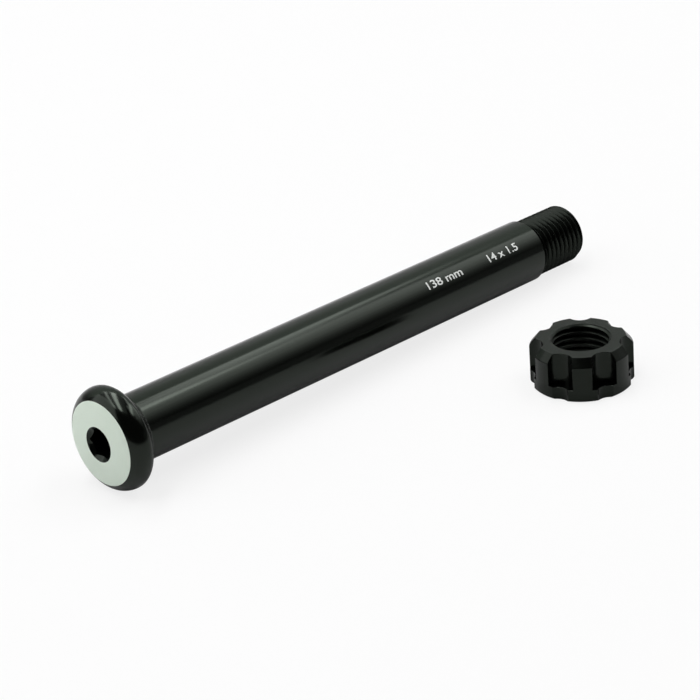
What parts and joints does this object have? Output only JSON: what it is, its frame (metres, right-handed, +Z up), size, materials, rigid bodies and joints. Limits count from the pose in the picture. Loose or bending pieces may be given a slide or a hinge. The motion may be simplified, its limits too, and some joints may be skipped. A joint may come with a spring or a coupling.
{
  "type": "bicycle thru axle",
  "caption": "Bicycle thru axle with a domed hex-socket head, conical seat, plain round shaft and threaded end, lying beside its fluted round nut.",
  "frame": {"origin": "on the axle's axis, where the head's seat cone meets the shaft", "axes": "+X along the table from the head to the thread, +Z up, the nut on the -Y side"},
  "size_m": [0.1465, 0.0682, 0.0233],
  "materials": {
    "black_anodised": "satin black anodised, with the head's face bleached pale"
  },
  "bodies": {
    "root": {"axle": "black_anodised", "nut": "black_anodised"}
  },
  "joints": []
}
